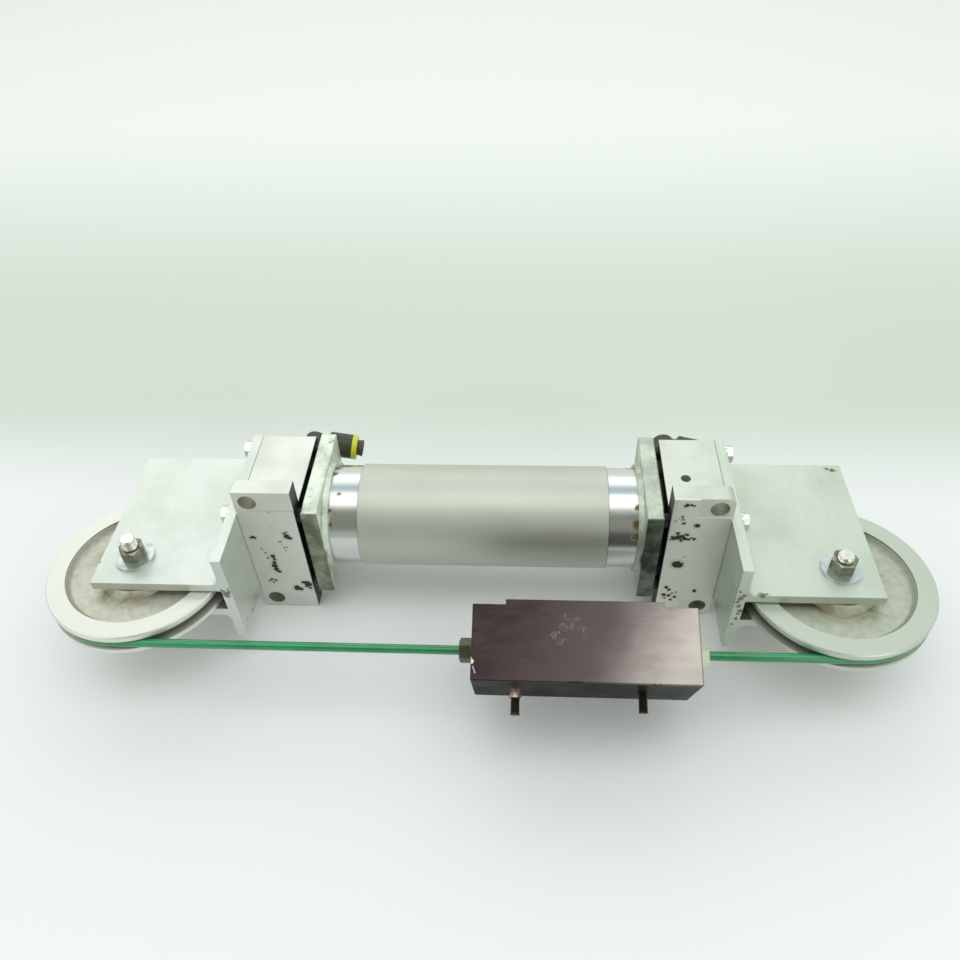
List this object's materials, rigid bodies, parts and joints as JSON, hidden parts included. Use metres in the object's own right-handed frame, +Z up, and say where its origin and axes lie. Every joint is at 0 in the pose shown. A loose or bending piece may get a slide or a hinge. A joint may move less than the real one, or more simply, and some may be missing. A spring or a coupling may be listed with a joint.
{
  "type": "rodless pneumatic cylinder",
  "caption": "Cable cylinder: a piston pulls a jacketed cable over end sheaves and moves a stud-mounted carriage beside the tube; flanged end blocks, push-in air elbows.",
  "frame": {"origin": "on the tube's axis, halfway between the heads", "axes": "+X along the tube towards the end where the carriage stands, +Y away from the carriage towards the air elbows, +Z up, along the sheave axles"},
  "size_m": [0.5656, 0.2087, 0.1142],
  "materials": {
    "anodised_tube": "satin grey anodised, bright where turned",
    "cast_aluminium": "mottled die-cast",
    "left_block_aluminium": "machined, corroded in pits",
    "right_block_aluminium": "machined, corroded in pits",
    "left_bracket_aluminium": "satin extruded",
    "right_bracket_aluminium": "satin extruded",
    "sheave_aluminium": "cast and turned, stained",
    "black_rubber": "matt",
    "bronze": "machined",
    "plated_steel": "dull zinc plate",
    "bearing_steel": "polished",
    "green_jacket": "smooth jacket",
    "faded_anodised": "faded purple-brown anodised",
    "terminal_steel": "dull",
    "stained_nut_steel": "stained plate",
    "piston_aluminium": "machined",
    "brown_nylon": "matt",
    "nickel_brass": "nickel-plated",
    "black_plastic": "satin",
    "lime_plastic": "smooth",
    "amber_plastic": "smooth, dirty"
  },
  "bodies": {
    "cylinder": {"tube": "anodised_tube", "left_head": "cast_aluminium", "right_head": "cast_aluminium", "left_tube_seal": "black_rubber", "right_tube_seal": "black_rubber", "left_face_seal": "black_rubber", "right_face_seal": "black_rubber", "left_end_block": "left_block_aluminium", "right_end_block": "right_block_aluminium", "left_bracket": "left_bracket_aluminium", "right_bracket": "right_bracket_aluminium", "left_gland_bush": "bronze", "right_gland_bush": "bronze", "left_gland_seal": "black_rubber", "right_gland_seal": "black_rubber", "left_wiper": "black_rubber", "right_wiper": "black_rubber", "bracket_bolts": "plated_steel", "spring_washers": "plated_steel", "axle_bolts": "plated_steel", "axle_washers": "plated_steel", "axle_nuts": "plated_steel", "hub_spacers": "plated_steel", "left_inner_races": "bearing_steel", "right_inner_races": "bearing_steel", "left_cable_wrap": "green_jacket", "right_cable_wrap": "green_jacket", "left_cable_front": "green_jacket", "right_cable_front": "green_jacket", "left_cable_inner": "green_jacket", "right_cable_inner": "green_jacket", "left_elbow_stem": "nickel_brass", "right_elbow_stem": "nickel_brass"},
    "left_sheave": {"left_sheave": "sheave_aluminium", "left_outer_races": "bearing_steel", "left_bearing_balls": "bearing_steel"},
    "right_sheave": {"right_sheave": "sheave_aluminium", "right_outer_races": "bearing_steel", "right_bearing_balls": "bearing_steel"},
    "cable_ends": {"left_terminal": "terminal_steel", "right_terminal": "terminal_steel"},
    "carriage": {"carriage_block": "faded_anodised", "terminal_nuts": "stained_nut_steel", "terminal_washers": "stained_nut_steel", "carriage_studs": "plated_steel", "stud_collar": "plated_steel"},
    "piston": {"piston": "piston_aluminium", "left_piston_seal": "black_rubber", "right_piston_seal": "black_rubber", "wear_ring": "brown_nylon", "left_cable_socket": "terminal_steel", "right_cable_socket": "terminal_steel"},
    "left_elbow": {"left_elbow": "black_plastic", "left_release_ring": "lime_plastic"},
    "right_elbow": {"right_elbow": "black_plastic", "right_release_ring": "lime_plastic"},
    "left_collet": {"left_collet": "black_plastic"},
    "right_collet": {"right_collet": "amber_plastic"}
  },
  "joints": [
    {"name": "carriage_slide", "type": "slide", "parent": "cylinder", "child": "cable_ends", "axis": [1, 0, 0], "range_m": [-0.127, 0], "deforming": ["left_cable_front", "right_cable_front"]},
    {"name": "carriage_roll", "type": "hinge", "parent": "cable_ends", "child": "carriage", "pos_m": [0.0635, -0.111, 0], "axis": [1, 0, 0], "range_deg": [-45, 15]},
    {"name": "piston_slide", "type": "slide", "parent": "cylinder", "child": "piston", "axis": [1, 0, 0], "range_m": [0, 0.127], "deforming": ["left_cable_inner", "right_cable_inner"]},
    {"name": "left_sheave_turn", "type": "hinge", "parent": "cylinder", "child": "left_sheave", "pos_m": [-0.22405, -0.0555, 0], "axis": [0, 0, 1], "range_deg": [-132, 0]},
    {"name": "right_sheave_turn", "type": "hinge", "parent": "cylinder", "child": "right_sheave", "pos_m": [0.22405, -0.0555, 0], "axis": [0, 0, 1], "range_deg": [-132, 0]},
    {"name": "left_elbow_swivel", "type": "hinge", "parent": "cylinder", "child": "left_elbow", "pos_m": [-0.1256, 0.0535, 0.019], "axis": [0, 1, 0], "continuous": true},
    {"name": "right_elbow_swivel", "type": "hinge", "parent": "cylinder", "child": "right_elbow", "pos_m": [0.1256, 0.0535, 0.019], "axis": [0, 1, 0], "continuous": true},
    {"name": "left_collet_press", "type": "slide", "parent": "left_elbow", "child": "left_collet", "axis": [0.9848, 0, -0.1736], "range_m": [-0.0012, 0], "stiffness_N_per_m": 2000},
    {"name": "right_collet_press", "type": "slide", "parent": "right_elbow", "child": "right_collet", "axis": [0.9659, 0, -0.2588], "range_m": [-0.0012, 0], "stiffness_N_per_m": 2000}
  ],
  "couplings": [
    {"joint": "piston_slide", "follows": "carriage_slide", "ratio": -1},
    {"joint": "left_sheave_turn", "follows": "carriage_slide", "rad_per_m": 18.018},
    {"joint": "right_sheave_turn", "follows": "carriage_slide", "rad_per_m": 18.018}
  ]
}
